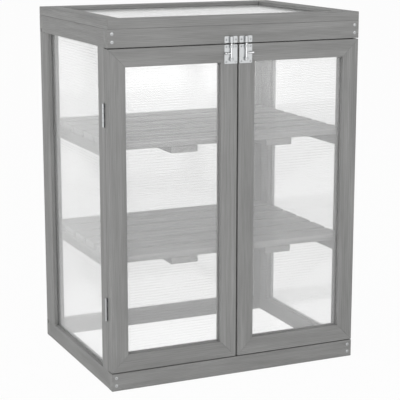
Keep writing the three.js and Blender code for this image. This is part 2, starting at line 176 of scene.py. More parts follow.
def late_wood(tree, trunk):
    wander = streaks(tree, trunk, WAVE_WIDTH, WAVE_LENGTH, detail=1.5)["Color"]
    centred = add_node(
        tree, "ShaderNodeVectorMath", {"operation": "SUBTRACT", 0: wander, 1: (0.5, 0.5, 0.5)}
    ).outputs[0]
    shift = add_node(
        tree, "ShaderNodeVectorMath", {"operation": "SCALE", 0: centred, "Scale": 2 * WAVE_REACH}
    ).outputs[0]
    grown = add_node(tree, "ShaderNodeVectorMath", {"operation": "ADD", 0: trunk, 1: shift}).outputs[0]
    flat = add_node(
        tree, "ShaderNodeVectorMath", {"operation": "MULTIPLY", 0: grown, 1: (1, 1, 0)}
    ).outputs[0]
    radius = add_node(tree, "ShaderNodeVectorMath", {"operation": "LENGTH", 0: flat}).outputs["Value"]
    rings = add_node(
        tree, "ShaderNodeMath", {"operation": "DIVIDE", 0: radius, 1: RING_WIDTH}
    ).outputs[0]
    part_of_ring = add_node(tree, "ShaderNodeMath", {"operation": "FRACT", 0: rings}).outputs[0]
    ramp = add_node(tree, "ShaderNodeValToRGB", {"Fac": part_of_ring})
    set_ramp(ramp, [(position, (late, late, late, 1)) for position, late in LATE_WOOD_STOPS])
    return ramp.outputs["Color"]


print("ring width", round(RING_WIDTH / MM, 1), "mm")

# %% [markdown]
# The boards are coated with a thin grey water-based stain, which soaks in unevenly. Its colour drifts
# between two greys in long blotches. It takes darker on the late wood and on the finest fibres, so both
# multiply it by a pale grey. The fibres also raise the surface a few hundredths of a millimetre and vary
# its roughness, which keeps the highlight soft and broken, as on planed wood without varnish.

# %% Stained softwood
BLOTCH_WIDTH = 16 * MM
BLOTCH_LENGTH = 240 * MM
FIBRE_WIDTH = 0.9 * MM  # real fibres are much finer and would not show
FIBRE_LENGTH = 45 * MM
FIBRE_RELIEF = 0.05 * MM
STAIN_STOPS = ((0.3, 0x8A8A89), (0.7, 0x9A9A99))
FIBRE_STOPS = ((0.32, 0xE2E2E2), (0.62, 0xFFFFFF))
LATE_WOOD_TONE = 0xD4D4D4
LATE_WOOD_SHARE = 0.32
FIBRE_SHARE = 0.6
FIBRES_FROM = 0.3  # nearly all of the noise lies between these two
FIBRES_TO = 0.7
RELIEF_STRENGTH = 0.6
ROUGH_WOOD = 0.72
SMOOTH_WOOD = 0.58
WOOD_SHINE = 0.35


def toned(tree, below, tone, share):
    """The colour below, multiplied by a share of the tone."""
    return add_node(
        tree,
        "ShaderNodeMix",
        {"data_type": "RGBA", "blend_type": "MULTIPLY", 0: share, 6: below, 7: tone},
    ).outputs[2]


def stained_softwood(along, plank):
    material, tree, shader = new_material(f"grey_stained_softwood_{along}_{plank}")
    trunk = trunk_place(tree, along, plank)
    blotches = streaks(tree, trunk, BLOTCH_WIDTH, BLOTCH_LENGTH, detail=2)["Fac"]
    stain = add_node(tree, "ShaderNodeValToRGB", {"Fac": blotches})
    set_ramp(stain, [(position, colour(grey)) for position, grey in STAIN_STOPS])
    ring_share = add_node(
        tree, "ShaderNodeMath", {"operation": "MULTIPLY", 0: late_wood(tree, trunk), 1: LATE_WOOD_SHARE}
    ).outputs[0]
    ringed = toned(tree, stain.outputs["Color"], colour(LATE_WOOD_TONE), ring_share)
    fibres = streaks(tree, trunk, FIBRE_WIDTH, FIBRE_LENGTH, detail=3)["Fac"]
    fibre_tone = add_node(tree, "ShaderNodeValToRGB", {"Fac": fibres})
    set_ramp(fibre_tone, [(position, colour(grey)) for position, grey in FIBRE_STOPS])
    stained = toned(tree, ringed, fibre_tone.outputs["Color"], FIBRE_SHARE)
    roughness = add_node(
        tree,
        "ShaderNodeMapRange",
        {
            "Value": fibres,
            "From Min": FIBRES_FROM,
            "From Max": FIBRES_TO,
            "To Min": ROUGH_WOOD,
            "To Max": SMOOTH_WOOD,
        },
    ).outputs[0]
    relief = add_node(
        tree,
        "ShaderNodeBump",
        {"Height": fibres, "Distance": FIBRE_RELIEF, "Strength": RELIEF_STRENGTH},
    ).outputs[0]
    tree.links.new(stained, shader.inputs["Base Color"])
    tree.links.new(roughness, shader.inputs["Roughness"])
    tree.links.new(relief, shader.inputs["Normal"])
    shader.inputs["Specular IOR Level"].default_value = WOOD_SHINE
    return material


softwood = {along: [stained_softwood(along, plank) for plank in range(len(HEARTS))] for along in "xyz"}
print("softwood materials", sum(len(planks) for planks in softwood.values()))

# %% [markdown]
# A board's name says which way it runs. Boards that meet take planks from different places in the tree,
# so the grain never runs on across a joint.


# %% Timber on the boards
def grain_of(name):
    if name.endswith("stile"):
        return "z"
    runs_back = name.endswith("cleat") or name.startswith(("left_side", "right_side"))
    return "y" if runs_back or name in ("roof_left_member", "roof_right_member") else "x"


def give(piece, material):
    piece.data.materials.clear()
    piece.data.materials.append(material)


BOARD_ENDINGS = ("board", "stile", "rail", "member", "cleat")
boards = sorted(name for name in nodes if name.endswith(BOARD_ENDINGS))
for number, name in enumerate(boards):
    give(nodes[name], softwood[grain_of(name)][number % len(HEARTS)])
print("boards", len(boards))

# %% [markdown]
# Most new pieces are modelled in the middle of the room and then moved to their place. The first helpers
# do what every piece needs: choose it alone, put its place and turn into its mesh, give it its material,
# attach it to what it moves with and hide the parts of the frame that it stands for. The last one also
# smooths what is round. It lets large faces decide the shading, so that flat metal looks flat right up to
# its eased edge.

# %% Finishing a piece
SHARP_TURN = math.radians(50)  # an edge that turns by more than this stays a crisp edge


def select_only(*pieces):
    bpy.ops.object.select_all(action="DESELECT")
    for piece in pieces:
        piece.select_set(True)
    bpy.context.view_layer.objects.active = pieces[0]


def settle(piece):
    select_only(piece)
    bpy.ops.object.transform_apply(location=True, rotation=True, scale=True)
    return piece


def smooth(piece):
    select_only(piece)
    bpy.ops.object.shade_smooth_by_angle(angle=SHARP_TURN)
    shading = piece.modifiers.new("shading", "WEIGHTED_NORMAL")
    shading.weight = 100
    shading.keep_sharp = True
    bpy.ops.object.modifier_apply(modifier=shading.name)


def fit(piece, material, slot, body, *replaced):
    smooth(piece)
    give(piece, material)
    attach(piece, body)
    if replaced:
        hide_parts(*replaced)
    piece.select_set(False)


print("edges stay crisp from", round(math.degrees(SHARP_TURN)), "degrees")

# %% [markdown]
# No real edge is sharp, and a highlight on its rounding is what tells the eye so. One helper bevels only
# the edges that turn sharply. Another adds a block between two corners and eases it. The slats and
# battens are eased by 2 mm, and pressed metal, later on, by a tenth of that or less.

# %% Eased blocks
EASED_EDGE = 2 * MM  # of slats and battens


def eased(piece, width):
    select_only(piece)
    rounding = piece.modifiers.new("rounding", "BEVEL")
    rounding.width = width
    rounding.segments = 2
    rounding.limit_method = "ANGLE"
    rounding.angle_limit = SHARP_TURN
    bpy.ops.object.modifier_apply(modifier=rounding.name)
    return piece


def block(name, low, high, edge):
    low, high = Vector(low), Vector(high)
    bpy.ops.mesh.primitive_cube_add(size=1, location=(low + high) / 2)
    piece = bpy.context.object
    piece.name = name
    piece.scale = high - low
    settle(piece)
    return eased(piece, edge) if edge else piece


print("slats eased by", EASED_EDGE / MM, "mm")

# %% [markdown]
# A shelf is six planed slats nailed across two battens. Each slat is its own stick of wood, so it shows
# its own grain. The frame holds the whole shelf as one solid, so its box gives the places: the slats
# share its depth evenly, and the battens lie below them.

# %% Shelf slats and battens
SHELVES = ("lower_shelf", "upper_shelf")
SLAT_COUNT = 6
SLAT_GAP = 15 * MM
SLAT_THICKNESS = 15 * MM
BATTEN_WIDTH = 62.5 * MM
BATTEN_OFFSET = 112 * MM  # of a batten's middle from the shelf's


def slat_fronts(shelf):
    """Where each slat starts, from front to back, and how wide a slat is."""
    low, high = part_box(shelf)
    width = (high.y - low.y - (SLAT_COUNT - 1) * SLAT_GAP) / SLAT_COUNT
    return [low.y + number * (width + SLAT_GAP) for number in range(SLAT_COUNT)], width


for order, shelf in enumerate(SHELVES):
    low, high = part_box(shelf)
    underside = high.z - SLAT_THICKNESS
    fronts, slat_width = slat_fronts(shelf)
    for number, front in enumerate(fronts):
        slat = block(
            f"{shelf}_slat_{number + 1}",
            (low.x, front, underside),
            (high.x, front + slat_width, high.z),
            EASED_EDGE,
        )
        plank = softwood["x"][(number + 2 * order) % len(HEARTS)]
        fit(slat, plank, "grey_stained_wood", "cabinet", shelf)
    for number, middle in enumerate((-BATTEN_OFFSET, BATTEN_OFFSET)):
        batten = block(
            f"{shelf}_batten_{number + 1}",
            (middle - BATTEN_WIDTH / 2, low.y, low.z),
            (middle + BATTEN_WIDTH / 2, high.y, underside),
            EASED_EDGE,
        )
        plank = softwood["y"][(number + order) % len(HEARTS)]
        fit(batten, plank, "grey_stained_wood", "cabinet", shelf)
    print(shelf, SLAT_COUNT, "slats", round(slat_width / MM, 1), "mm wide and 2 battens")

# %% [markdown]
# The glazing is extruded polycarbonate: two clear skins a few tenths of a millimetre thick, which webs
# every 6 mm hold apart, 4 mm thick in all. Each surface scatters a little light, which gives the sheet its
# milky look, and reflects a little of the room, much more so at a shallow angle. The first is a nearly
# white plastic with a low alpha. The second is a glossy layer, whose share rises from a few per cent with
# the fifth power of the slant. Every surface that a ray crosses adds its part.

# %% Polycarbonate
PLASTIC_TINT = 0xFBFCFC
PLASTIC_IOR = 1.58
# Thinner than HAZE: along the webs it paints their dark lines as shade on the skins, and it is the webs'
# own haze.
WEB_LINE_HAZE = 0.045  # share of the light that one surface scatters at a web
HAZE_ROUGHNESS = 0.35
REFLECTION = 0.045  # share that one surface reflects, seen straight on
SHALLOW_REFLECTION = 0.6
GLOSS_ROUGHNESS = 0.12


def polycarbonate(name):
    material, tree, shader = new_material(name)
    shader.inputs["Base Color"].default_value = colour(PLASTIC_TINT)
    shader.inputs["Alpha"].default_value = WEB_LINE_HAZE
    shader.inputs["Roughness"].default_value = HAZE_ROUGHNESS
    shader.inputs["IOR"].default_value = PLASTIC_IOR
    slant = add_node(tree, "ShaderNodeLayerWeight", {"Blend": 0.5}).outputs["Facing"]
    fifth = add_node(tree, "ShaderNodeMath", {"operation": "POWER", 0: slant, 1: 5}).outputs[0]
    share = add_node(
        tree,
        "ShaderNodeMapRange",
        {"Value": fifth, "To Min": REFLECTION, "To Max": SHALLOW_REFLECTION},
    ).outputs[0]
    gloss = add_node(
        tree, "ShaderNodeBsdfGlossy", {"Color": (1, 1, 1, 1), "Roughness": GLOSS_ROUGHNESS}
    ).outputs[0]
    blend = add_node(tree, "ShaderNodeMixShader", {0: share, 1: shader.outputs[0], 2: gloss}).outputs[0]
    tree.links.new(blend, tree.nodes["Material Output"].inputs["Surface"])
    return material, tree, shader


web_plastic = polycarbonate("clear_polycarbonate_web")[0]
print("plastic", web_plastic.name)

# %% [markdown]
# The webs show through a sheet as fine dark lines, and these are painted shade: the skins' haze is made
# thinner along each web, so less milky light lies there. It shows more over grey wood than over white.
# The lines have to lie on a sheet's own webs, so every sheet has a skin plastic of its own, which is told
# where the first web is and how far apart they are.

# %% Skins over the webs
FLUTE_PITCH = 6 * MM
HAZE = 0.064  # share of the light that one surface scatters between webs
WEB_LINE_SHARE = 0.12  # of the flute pitch, from a web's middle to where the haze starts to thicken
CLEAR_SHARE = 0.3  # and to where it is full


def skin_plastic(name, stack_axis, first_web, pitch):
    """The plastic of a sheet's skins, whose haze thins along the webs across stack_axis: painted shade
    lines.
    """
    material, tree, shader = polycarbonate(name)
    place = add_node(tree, "ShaderNodeTexCoord", {}).outputs["Object"]
    along = add_node(tree, "ShaderNodeSeparateXYZ", {"Vector": place}).outputs[stack_axis.upper()]
    past_first = add_node(
        tree, "ShaderNodeMath", {"operation": "SUBTRACT", 0: along, 1: first_web}
    ).outputs[0]
    flutes = add_node(tree, "ShaderNodeMath", {"operation": "DIVIDE", 0: past_first, 1: pitch}).outputs[0]
    from_web = add_node(tree, "ShaderNodeMath", {"operation": "PINGPONG", 0: flutes, 1: 0.5}).outputs[0]
    # Painted shade: the haze is thinnest at each web, which draws a dark line along it.
    haze = add_node(
        tree,
        "ShaderNodeMapRange",
        {
            "Value": from_web,
            "From Min": WEB_LINE_SHARE,
            "From Max": CLEAR_SHARE,
            "To Min": WEB_LINE_HAZE,
            "To Max": HAZE,
        },
    ).outputs[0]
    tree.links.new(haze, shader.inputs["Alpha"])
    return material


print("flute pitch", FLUTE_PITCH / MM, "mm")

# %% [markdown]
# A sheet's section is a ladder. A grid one cell wide gives the rungs, an inset in every cell gives skins
# and webs their thickness, and the cells' middles are deleted.

# %% Ladder section
WALL = 0.35 * MM


def ladder_section(name, thickness, stack, flutes):
    bpy.ops.mesh.primitive_grid_add(x_subdivisions=1, y_subdivisions=flutes, size=1)
    section = bpy.context.object
    section.name = name
    section.scale = (thickness, stack, 1)
    settle(section)
    bpy.ops.object.mode_set(mode="EDIT")
    bpy.ops.mesh.select_all(action="SELECT")
    bpy.ops.mesh.inset(thickness=WALL, use_individual=True)
    bpy.ops.mesh.delete(type="FACE")
    bpy.ops.object.mode_set(mode="OBJECT")
    return section


print("skins and webs", WALL / MM, "mm thick")

# %% [markdown]
# One extrusion along the flutes makes the whole sheet, open at both ends, as the real one is. The extruded
# shell may point inwards, so its points are merged and its normals recalculated. The faces of the webs are
# those that look along the stack of flutes, and they get the webs' plastic. Then the sheet is turned and
# moved into its frame.

# %% Twin-wall sheets
MERGE_REACH = 0.001 * MM
SQUARE_ON = 0.9  # how much of a face's normal lies along an axis that the face looks along
SHEET_TURNS = {  # from the section's own axes to the sheet's place: thickness, stack and flute axes
    "xz": ((math.pi / 2, 0, math.pi / 2), "yzx"),
    "yz": ((math.pi / 2, 0, 0), "xzy"),
    "xy": ((0, -math.pi / 2, 0), "zyx"),
}
SHEET_PLANES = {
    "left_door_sheet": ("left_door", "xz"),
    "right_door_sheet": ("right_door", "xz"),
    "back_sheet": ("cabinet", "xz"),
    "left_side_sheet": ("cabinet", "yz"),
    "right_side_sheet": ("cabinet", "yz"),
    "roof_sheet": ("cabinet", "xy"),
}


def facing_outwards(piece):
    """Merges points that lie together, and makes every face point outwards."""
    select_only(piece)
    bpy.ops.object.mode_set(mode="EDIT")
    bpy.ops.mesh.select_all(action="SELECT")
    bpy.ops.mesh.remove_doubles(threshold=MERGE_REACH)
    bpy.ops.mesh.normals_make_consistent(inside=False)
    bpy.ops.object.mode_set(mode="OBJECT")
    return piece


def twin_wall_sheet(node, body, plane):
    low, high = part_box(node)
    turn, axes = SHEET_TURNS[plane]
    thickness, stack, length = ((high - low)["xyz".index(axis)] for axis in axes)
    flutes = round(stack / FLUTE_PITCH)
    sheet = ladder_section(f"{node}_fluted", thickness, stack, flutes)
    bpy.ops.object.mode_set(mode="EDIT")
    bpy.ops.mesh.select_all(action="SELECT")
    bpy.ops.mesh.extrude_region_move(TRANSFORM_OT_translate={"value": (0, 0, length)})
    bpy.ops.mesh.select_all(action="SELECT")
    bpy.ops.transform.translate(value=(0, 0, -length / 2))
    bpy.ops.object.mode_set(mode="OBJECT")
    facing_outwards(sheet)
    first_web = low["xyz".index(axes[1])]
    skin = skin_plastic(f"clear_polycarbonate_{node}", axes[1], first_web, stack / flutes)
    fit(sheet, skin, "polycarbonate", body, node)
    sheet.data.materials.append(web_plastic)
    for face in sheet.data.polygons:
        face.material_index = int(abs(face.normal.y) > SQUARE_ON)
    sheet.rotation_euler = turn
    sheet.location = (low + high) / 2
    settle(sheet)
    sheet.visible_shadow = False  # clear plastic passes the light on to the shelves
    sheet.select_set(False)
    return flutes


for node, (body, plane) in SHEET_PLANES.items():
    print(node, twin_wall_sheet(node, body, plane), "flutes")

# %% [markdown]
# The hinges and bolts are pressed from mild steel and bright zinc plated. Zinc is a pale, slightly bluish
# metal. The rollers that the strip came through leave fine lines, which blur its reflections. The room
# that the metal mirrors is white all round, so the dark outline along its rounded edges is a painted
# reflection: the shader's specular tint, which is what a metal reflects at a shallow angle, is set nearly
# black, and that paints the thin dark outline.
# The hinge pins are drawn wire, brighter and smoother than strip.

# %% Zinc-plated steel
BRUSH_WIDTH = 0.25 * MM  # coarser than the real lines, so that they show
BRUSH_LENGTH = 12 * MM
# Nearly black: it paints a dark reflection along the rounded edges of the metal.
PAINTED_EDGE_REFLECTION_TINT = 0x101214


def zinc_plated_steel(name, tint, dull, bright):
    material, tree, shader = new_material(name)
    place = add_node(tree, "ShaderNodeTexCoord", {}).outputs["Object"]
    brushed = streaks(tree, place, BRUSH_WIDTH, BRUSH_LENGTH, detail=2)["Fac"]
    roughness = add_node(
        tree, "ShaderNodeMapRange", {"Value": brushed, "To Min": bright, "To Max": dull}
    ).outputs[0]
    tree.links.new(roughness, shader.inputs["Roughness"])
    shader.inputs["Base Color"].default_value = colour(tint)
    shader.inputs["Specular Tint"].default_value = colour(PAINTED_EDGE_REFLECTION_TINT)
    shader.inputs["Metallic"].default_value = 1
    return material


pressed_steel = zinc_plated_steel("zinc_plated_pressed_steel", 0xB6B8B9, dull=0.42, bright=0.22)
drawn_steel = zinc_plated_steel("zinc_plated_drawn_rod", 0xD2D3D4, dull=0.32, bright=0.16)
pins = [name for name in nodes if name.endswith("hinge_pin")]
for pin in pins:
    give(nodes[pin], drawn_steel)
print("hinge pins", len(pins))

# %% [markdown]
# Rods, knobs and the bodies of screws are turned on a lathe, so one helper models them the same way. A
# spun outline would do as well, but it leaves poles to close at both ends. This one starts with a disc,
# and for each step of the outline it extrudes the last face and scales it.

# %% Turned pieces
ROUND_SIDES = 24


def turned(name, steps, sides):
    """A round solid along z, from steps of radius and height."""
    radius, height = steps[0]
    bpy.ops.mesh.primitive_circle_add(
        vertices=sides, radius=radius, fill_type="NGON", location=(0, 0, height)
    )
    piece = bpy.context.object
    piece.name = name
    settle(piece)
    bpy.ops.object.mode_set(mode="EDIT")
    bpy.ops.mesh.select_all(action="SELECT")
    for next_radius, next_height in steps[1:]:
        rise = (0, 0, next_height - height)
        bpy.ops.mesh.extrude_region_move(TRANSFORM_OT_translate={"value": rise})
        widen = next_radius / radius
        bpy.ops.transform.resize(value=(widen, widen, 1))
        radius, height = next_radius, next_height
    bpy.ops.object.mode_set(mode="OBJECT")
    return facing_outwards(piece)


print("round pieces have", ROUND_SIDES, "sides")

# %% [markdown]
# The screws have countersunk heads with a cross recess, which two tapered blades cut out of a head. A
# helper cuts or joins two pieces and discards the tool afterwards. Another leaves nothing selected in a
# mesh, so that some of its faces can be chosen: the lower face of a blade is the one that is made smaller.

# %% Cross recess
CROSS_TAPER = 0.6  # of the recess, from its mouth to its floor


def discard(*pieces):
    for piece in pieces:
        bpy.data.objects.remove(piece, do_unlink=True)


def combine(piece, tool, operation):
    select_only(piece)
    step = piece.modifiers.new("step", "BOOLEAN")
    step.object = tool
    step.operation = operation
    step.solver = "EXACT"
    bpy.ops.object.modifier_apply(modifier=step.name)
    discard(tool)
    return piece


def nothing_selected(kind):
    """Leaves the active mesh with nothing selected, ready to have points, edges or faces chosen."""
    bpy.ops.object.mode_set(mode="EDIT")
    bpy.ops.mesh.select_mode(type=kind)
    bpy.ops.mesh.select_all(action="DESELECT")
    bpy.ops.object.mode_set(mode="OBJECT")


def blade(length, width, depth, turn):
    """One arm of a cross recess, sunk into the plane z = 0 and narrower below."""
    bpy.ops.mesh.primitive_cube_add(size=1)
    tool = bpy.context.object
    tool.scale = (length, width, 2 * depth)
    tool.rotation_euler = (0, 0, turn)
    settle(tool)
    nothing_selected("FACE")
    for face in tool.data.polygons:
        face.select = face.normal.z < -SQUARE_ON
    bpy.ops.object.mode_set(mode="EDIT")
    bpy.ops.transform.resize(value=(CROSS_TAPER, CROSS_TAPER, 1))
    bpy.ops.object.mode_set(mode="OBJECT")
    return tool


print("recess narrows to", CROSS_TAPER, "of its mouth")

# %% [markdown]
# A head is a cone that ends in a low dome, on a shank with a point. The two blades leave the cross that the
# screwdriver fits. A screw is modelled once for each size, and its copies are turned to their places and
# joined, one object for each group.

# %% Screws
SCREW_SIDES = 20
SHANK_SHARE = 0.55  # of the head's radius, as are the next three
CROSS_LENGTH_SHARE = 1.15
CROSS_WIDTH_SHARE = 0.3
CROSS_DEPTH_SHARE = 0.5


def screw(name, head_radius, dome, length):
    """A screw that points down, with the rim of its head in the plane z = 0."""
    shank = SHANK_SHARE * head_radius
    outline = [
        (0.2 * shank, -length),
        (shank, -length + 2 * shank),
        (shank, -0.6 * head_radius),
        (head_radius, -0.1 * head_radius),
        (head_radius, 0),
        (0.85 * head_radius, 0.55 * dome),
        (0.45 * head_radius, dome),
    ]
    piece = turned(name, outline, SCREW_SIDES)
    for turn in (0, math.pi / 2):
        tool = blade(
            CROSS_LENGTH_SHARE * head_radius,
            CROSS_WIDTH_SHARE * head_radius,
            dome + CROSS_DEPTH_SHARE * head_radius,
            turn,
        )
        combine(piece, tool, "DIFFERENCE")
    return piece


def copy_of(piece, name, place, turn=(0, 0, 0)):
    select_only(piece)
    bpy.ops.object.duplicate()
    copy = bpy.context.object
    copy.name = name
    copy.location = place
    copy.rotation_euler = turn
    return settle(copy)


def joined(name, pieces):
    select_only(*pieces)
    bpy.ops.object.join()
    whole = bpy.context.object
    whole.name = name
    return whole


def screw_group(name, pattern, places, turn, body):
    """Copies of one screw, joined into one object."""
    copies = [copy_of(pattern, name, place, turn) for place in places]
    fit(joined(name, copies), pressed_steel, "zinc_plated_steel", body)
    return len(copies)


print("screws have", SCREW_SIDES, "sides")

# %% [markdown]
# The front boards are screwed to the ends of the side frames, two screws at each end of each board, and
# the back frame is screwed on in the same way. Their heads lie flush and catch the light as small pale
# discs.

# %% Corner screws
TOWARDS_FRONT = (math.pi / 2, 0, 0)  # turns what points up to point out of the doors
TOWARDS_BACK = (-math.pi / 2, 0, 0)
CORNER_HEAD = 3.3 * MM
CORNER_DOME = 0.35 * MM
CORNER_LENGTH = 40 * MM
CORNER_INSET = 9.5 * MM  # from the side of the cabinet
BOARD_SCREW_SHARES = (0.31, 0.75)  # of a board's height, from its lower edge
BACK_SCREW_SHARES = (0.03, 0.35, 0.65, 0.97)  # of a back stile's height

corner_screw = screw("corner_screw", CORNER_HEAD, CORNER_DOME, CORNER_LENGTH)
front_places = []
for board_name in ("front_bottom_board", "front_top_board"):
    low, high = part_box(board_name)
    for x in (low.x + CORNER_INSET, high.x - CORNER_INSET):
        for share in BOARD_SCREW_SHARES:
            front_places.append((x, low.y, low.z + share * (high.z - low.z)))
back_places = []
for stile_name in ("back_left_stile", "back_right_stile"):
    low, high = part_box(stile_name)
    x = low.x + CORNER_INSET if low.x < 0 else high.x - CORNER_INSET
    for share in BACK_SCREW_SHARES:
        back_places.append((x, high.y, low.z + share * (high.z - low.z)))
print(screw_group("front_corner_screws", corner_screw, front_places, TOWARDS_FRONT, "cabinet"), "in front")
print(screw_group("back_corner_screws", corner_screw, back_places, TOWARDS_BACK, "cabinet"), "behind")
discard(corner_screw)

# %% [markdown]
# The holes in a hinge leaf are countersunk, so that the screws' heads lie just below its face. The cutter
# for one is a cone, whose wide end lies on the face that shows. The knuckles, and the cutter for the
# pin's bore, are upright bars, turned like it.

# %% Knuckles and countersinks
LEAF_THICKNESS = 1.2 * MM
LEAF_GAP = 1 * MM  # between the two plates
LEAF_SCREW_HEAD = 2.8 * MM
LAP = 0.2 * MM  # by which joined pieces run into each other and cutters run past a face


def upright(radius, low, high):
    return turned("upright", [(radius, low), (radius, high)], ROUND_SIDES)


def countersink(x, z, facing):
    """A cutter whose wide end lies on the leaf's open face."""
    wide = LEAF_SCREW_HEAD + 2 * LAP
    narrow = wide - LEAF_THICKNESS - 2 * LAP
    cone = turned("countersink", [(wide, -LAP), (narrow, LEAF_THICKNESS + LAP)], ROUND_SIDES)
    cone.rotation_euler = (-facing * math.pi / 2, 0, 0)
    cone.location = (x, facing * LEAF_GAP / 2, z)
    return settle(cone)


print("hinge plate", round(LEAF_THICKNESS / MM, 1), "mm thick")

# %% [markdown]
# A butt hinge is two leaves of pressed strip. Each has every second knuckle rolled round the pin, and
# three countersunk holes. The plate and each knuckle are eased on their own and then joined, and the bore
# and the countersinks are cut last, so that every rim stays crisp. The hinge is drawn round its pin, for
# the left side. The right one is a mirror image, and mirroring turns a mesh inside out, so its normals
# are recalculated.

# %% Hinge leaves
KNUCKLES = 5
KNUCKLE_RADIUS = 2.8 * MM
KNUCKLE_GAP = 0.3 * MM
LEAF_START = 3.5 * MM  # from the pin's axis to where the plate lies on the timber
LEAF_EDGE = 0.15 * MM
BORE_RADIUS = 1.6 * MM
LEAF_SCREW_SPACING = 16 * MM


def hinge_leaf(name, height, reach, facing, first_knuckle):
    """facing is 1 for the leaf on the side frame and -1 for the leaf on the door."""
    near, far = sorted((facing * LEAF_GAP / 2, facing * (LEAF_GAP / 2 + LEAF_THICKNESS)))
    leaf = block(name, (LEAF_START, near, -height / 2), (reach, far, height / 2), LEAF_EDGE)
    length = (height - (KNUCKLES - 1) * KNUCKLE_GAP) / KNUCKLES
    for number in range(first_knuckle, KNUCKLES, 2):
        low = -height / 2 + number * (length + KNUCKLE_GAP)
        knuckle = eased(upright(KNUCKLE_RADIUS, low, low + length), LEAF_EDGE)
        link = block("link", (0, near, low), (LEAF_START + LAP, far, low + length), 0)
        combine(leaf, link, "UNION")
        combine(leaf, knuckle, "UNION")
    combine(leaf, upright(BORE_RADIUS, -height / 2 - LAP, height / 2 + LAP), "DIFFERENCE")
    middle = (LEAF_START + reach) / 2
    for z in (-LEAF_SCREW_SPACING, 0, LEAF_SCREW_SPACING):
        combine(leaf, countersink(middle, z, facing), "DIFFERENCE")
    return leaf


def mirrored_copy(piece, name, place):
    select_only(piece)
    bpy.ops.object.duplicate()
    copy = bpy.context.object
    copy.name = name
    copy.scale.x = -1
    copy.location = place
    return facing_outwards(settle(copy))


print("knuckles", KNUCKLES)

# %% [markdown]
# Each of the four hinges takes one leaf from the side frame's kind and one from the door's, which swings
# with the door. The leaves share one size, so both kinds are modelled once and copied round each pin. The
# screws sit in the countersinks, just below the leaf's face.

# %% Hinges
LEAF_SCREW_DOME = 0.1 * MM
LEAF_SCREW_LENGTH = 13 * MM
LEAVES = {"frame": (1, 0), "door": (-1, 1)}  # facing and first knuckle
leaf_screw = screw("leaf_screw", LEAF_SCREW_HEAD - LAP, LEAF_SCREW_DOME, LEAF_SCREW_LENGTH)
low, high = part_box("left_upper_hinge_frame_leaf")
leaf_height = high.z - low.z
leaf_reach = high.x - low.x - KNUCKLE_RADIUS
patterns = {
    kind: hinge_leaf(f"{kind}_leaf", leaf_height, leaf_reach, *form) for kind, form in LEAVES.items()
}
leaf_count = 0
leaf_screw_count = 0
for side, mirror in (("left", 1), ("right", -1)):
    for level in ("lower", "upper"):
        low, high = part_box(f"{side}_{level}_hinge_pin")
        axis = (low + high) / 2
        for kind, (facing, _) in LEAVES.items():
            node = f"{side}_{level}_hinge_{kind}_leaf"
            body = "cabinet" if kind == "frame" else f"{side}_door"
            make = copy_of if side == "left" else mirrored_copy
            leaf = make(patterns[kind], f"{node}_pressed", axis)
            fit(leaf, pressed_steel, "zinc_plated_steel", body, node)
            across = mirror * (LEAF_START + leaf_reach) / 2
            places = [
                axis + Vector((across, facing * (LEAF_GAP / 2 + LAP / 2), z))
                for z in (-LEAF_SCREW_SPACING, 0, LEAF_SCREW_SPACING)
            ]
            turn = TOWARDS_FRONT if facing > 0 else TOWARDS_BACK
            leaf_screw_count += screw_group(f"{node}_screws", leaf_screw, places, turn, body)
            leaf_count += 1
discard(leaf_screw, *patterns.values())
print("hinge leaves", leaf_count, "screws", leaf_screw_count)

# %% [markdown]
# A barrel bolt is a rod that slides under two straps, which are pressed up out of its plate. The plate is
# strip with rounded corners and eased edges. It is drawn flat, with the rod along y and its top edge at
# y = 0. A strap is a turned bar round the rod's axis, whose lower half is flattened down to the plate.

# %% Plates and straps
PLATE_CORNER = 2 * MM
PLATE_THICKNESS = 1.2 * MM
PLATE_EDGE = 0.2 * MM
ROD_RADIUS = 2.5 * MM
ROD_PLAY = 0.3 * MM
ROD_HEIGHT = PLATE_THICKNESS + ROD_PLAY + ROD_RADIUS  # of the rod's axis above the timber


def rounded_plate(name, width, height):
    piece = block(name, (-width / 2, -height, 0), (width / 2, 0, PLATE_THICKNESS), 0)
    nothing_selected("EDGE")
    points = piece.data.vertices
    for edge in piece.data.edges:
        along = points[edge.vertices[0]].co - points[edge.vertices[1]].co
        edge.select = abs(along.z) > PLATE_THICKNESS / 2
    bpy.ops.object.mode_set(mode="EDIT")
    bpy.ops.mesh.bevel(offset=PLATE_CORNER, segments=5)
    bpy.ops.object.mode_set(mode="OBJECT")
    return eased(piece, PLATE_EDGE)


def arch(name, radius, middle, tall, foot):
    """A bar round the rod's axis, centred on y = middle, whose lower half is drawn down flat to foot."""
    piece = turned(name, [(radius, -middle - tall / 2), (radius, -middle + tall / 2)], 2 * ROUND_SIDES)
    piece.rotation_euler = TOWARDS_FRONT
    piece.location = (0, 0, ROD_HEIGHT)
    settle(piece)
    nothing_selected("VERT")
    for point in piece.data.vertices:
        point.select = point.co.z < ROD_HEIGHT - LAP
    bpy.ops.object.mode_set(mode="EDIT")
    bpy.ops.transform.resize(value=(1, 1, 0), center_override=(0, middle, foot))
    bpy.ops.object.mode_set(mode="OBJECT")
    return piece


print("rod", round(ROD_HEIGHT / MM, 1), "mm above the timber")

# %% [markdown]
# The press leaves a slot under each strap, which shows as a dark mark on either side of the rod. Straps
# and plate are one piece of strip, so they are joined. Then the slot and the space under each strap are
# cut out. That space has the strap's own form, only thinner.

# %% Pressed plates
STRAP_THICKNESS = 1.2 * MM
SLOT_MARGIN = 2 * MM  # of a slot beyond its strap
KEEPER_MARGIN = 0.4 * MM  # of the keeper's plate beyond its strap


